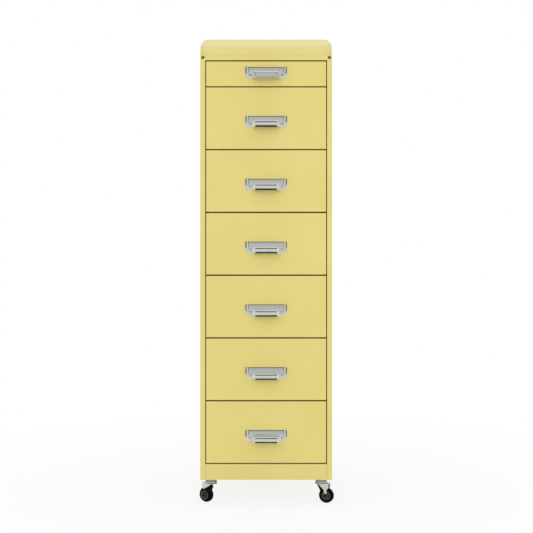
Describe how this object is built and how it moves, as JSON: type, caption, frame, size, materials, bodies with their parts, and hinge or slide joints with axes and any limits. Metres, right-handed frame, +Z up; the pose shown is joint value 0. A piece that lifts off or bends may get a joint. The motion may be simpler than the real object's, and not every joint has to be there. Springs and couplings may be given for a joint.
{
  "type": "rolling chest of drawers",
  "caption": "Tall narrow steel chest on swivel casters, with a shallow drawer over a stack of deep ones, each with a chromed card-frame pull, under a rounded cap.",
  "frame": {"origin": "on the floor under the middle of the chest, with every caster at its resting turn", "axes": "+Z up, +X to the right as seen from the front, the drawers open towards -Y"},
  "size_m": [0.2923, 0.3995, 0.989],
  "materials": {
    "cabinet_paint": "satin",
    "front_paint": "satin",
    "tray_paint": "satin",
    "pull_chrome": "polished",
    "screw_steel": "satin",
    "zinc_steel": "satin",
    "wheel_rubber": "matte",
    "brake_black": "matte"
  },
  "bodies": {
    "cabinet": {"side_panel_left": "cabinet_paint", "side_panel_right": "cabinet_paint", "back_panel": "cabinet_paint", "plinth_panel": "cabinet_paint", "bottom_pan": "cabinet_paint", "top_frame": "cabinet_paint", "frame_screws": "screw_steel", "top_cap": "cabinet_paint", "runner_channels_left": "cabinet_paint", "runner_channels_right": "cabinet_paint", "caster_cups": "zinc_steel", "kingpins": "zinc_steel"},
    "drawer_1": {"drawer_1_tray": "tray_paint", "drawer_1_front": "front_paint", "drawer_1_pull": "pull_chrome", "drawer_1_pull_screws": "screw_steel"},
    "drawer_2": {"drawer_2_tray": "tray_paint", "drawer_2_front": "front_paint", "drawer_2_pull": "pull_chrome", "drawer_2_pull_screws": "screw_steel"},
    "drawer_3": {"drawer_3_tray": "tray_paint", "drawer_3_front": "front_paint", "drawer_3_pull": "pull_chrome", "drawer_3_pull_screws": "screw_steel"},
    "drawer_4": {"drawer_4_tray": "tray_paint", "drawer_4_front": "front_paint", "drawer_4_pull": "pull_chrome", "drawer_4_pull_screws": "screw_steel"},
    "drawer_5": {"drawer_5_tray": "tray_paint", "drawer_5_front": "front_paint", "drawer_5_pull": "pull_chrome", "drawer_5_pull_screws": "screw_steel"},
    "drawer_6": {"drawer_6_tray": "tray_paint", "drawer_6_front": "front_paint", "drawer_6_pull": "pull_chrome", "drawer_6_pull_screws": "screw_steel"},
    "drawer_7": {"drawer_7_tray": "tray_paint", "drawer_7_front": "front_paint", "drawer_7_pull": "pull_chrome", "drawer_7_pull_screws": "screw_steel"},
    "front_left_swivel": {"front_left_fork": "zinc_steel", "front_left_axle": "zinc_steel"},
    "front_left_roller": {"front_left_wheel": "wheel_rubber"},
    "front_left_brake": {"front_left_brake_lever": "brake_black"},
    "front_right_swivel": {"front_right_fork": "zinc_steel", "front_right_axle": "zinc_steel"},
    "front_right_roller": {"front_right_wheel": "wheel_rubber"},
    "front_right_brake": {"front_right_brake_lever": "brake_black"},
    "rear_left_swivel": {"rear_left_fork": "zinc_steel", "rear_left_axle": "zinc_steel"},
    "rear_left_roller": {"rear_left_wheel": "wheel_rubber"},
    "rear_right_swivel": {"rear_right_fork": "zinc_steel", "rear_right_axle": "zinc_steel"},
    "rear_right_roller": {"rear_right_wheel": "wheel_rubber"}
  },
  "joints": [
    {"name": "drawer_1_slide", "type": "slide", "parent": "cabinet", "child": "drawer_1", "axis": [0, -1, 0], "range_m": [0, 0.3]},
    {"name": "drawer_2_slide", "type": "slide", "parent": "cabinet", "child": "drawer_2", "axis": [0, -1, 0], "range_m": [0, 0.3]},
    {"name": "drawer_3_slide", "type": "slide", "parent": "cabinet", "child": "drawer_3", "axis": [0, -1, 0], "range_m": [0, 0.3]},
    {"name": "drawer_4_slide", "type": "slide", "parent": "cabinet", "child": "drawer_4", "axis": [0, -1, 0], "range_m": [0, 0.3]},
    {"name": "drawer_5_slide", "type": "slide", "parent": "cabinet", "child": "drawer_5", "axis": [0, -1, 0], "range_m": [0, 0.3]},
    {"name": "drawer_6_slide", "type": "slide", "parent": "cabinet", "child": "drawer_6", "axis": [0, -1, 0], "range_m": [0, 0.3]},
    {"name": "drawer_7_slide", "type": "slide", "parent": "cabinet", "child": "drawer_7", "axis": [0, -1, 0], "range_m": [0, 0.3]},
    {"name": "front_left_swivel_turn", "type": "hinge", "parent": "cabinet", "child": "front_left_swivel", "pos_m": [-0.1183, -0.1505, 0.0407], "axis": [0, 0, 1], "continuous": true},
    {"name": "front_left_wheel_roll", "type": "hinge", "parent": "front_left_swivel", "child": "front_left_roller", "pos_m": [-0.12816, -0.14458, 0.016], "axis": [0.515, 0.8572, 0], "continuous": true},
    {"name": "front_left_brake_press", "type": "hinge", "parent": "front_left_swivel", "child": "front_left_brake", "pos_m": [-0.12816, -0.14458, 0.016], "axis": [0.515, 0.8572, 0], "range_deg": [0, 12]},
    {"name": "front_right_swivel_turn", "type": "hinge", "parent": "cabinet", "child": "front_right_swivel", "pos_m": [0.1183, -0.1505, 0.0407], "axis": [0, 0, 1], "continuous": true},
    {"name": "front_right_wheel_roll", "type": "hinge", "parent": "front_right_swivel", "child": "front_right_roller", "pos_m": [0.12911, -0.15443, 0.016], "axis": [-0.342, -0.9397, 0], "continuous": true},
    {"name": "front_right_brake_press", "type": "hinge", "parent": "front_right_swivel", "child": "front_right_brake", "pos_m": [0.12911, -0.15443, 0.016], "axis": [-0.342, -0.9397, 0], "range_deg": [0, 12]},
    {"name": "rear_left_swivel_turn", "type": "hinge", "parent": "cabinet", "child": "rear_left_swivel", "pos_m": [-0.1183, 0.1695, 0.0407], "axis": [0, 0, 1], "continuous": true},
    {"name": "rear_left_wheel_roll", "type": "hinge", "parent": "rear_left_swivel", "child": "rear_left_roller", "pos_m": [-0.12941, 0.17248, 0.016], "axis": [0.2588, 0.9659, 0], "continuous": true},
    {"name": "rear_right_swivel_turn", "type": "hinge", "parent": "cabinet", "child": "rear_right_swivel", "pos_m": [0.1183, 0.1695, 0.0407], "axis": [0, 0, 1], "continuous": true},
    {"name": "rear_right_wheel_roll", "type": "hinge", "parent": "rear_right_swivel", "child": "rear_right_roller", "pos_m": [0.12772, 0.1761, 0.016], "axis": [0.5736, -0.8192, 0], "continuous": true}
  ]
}
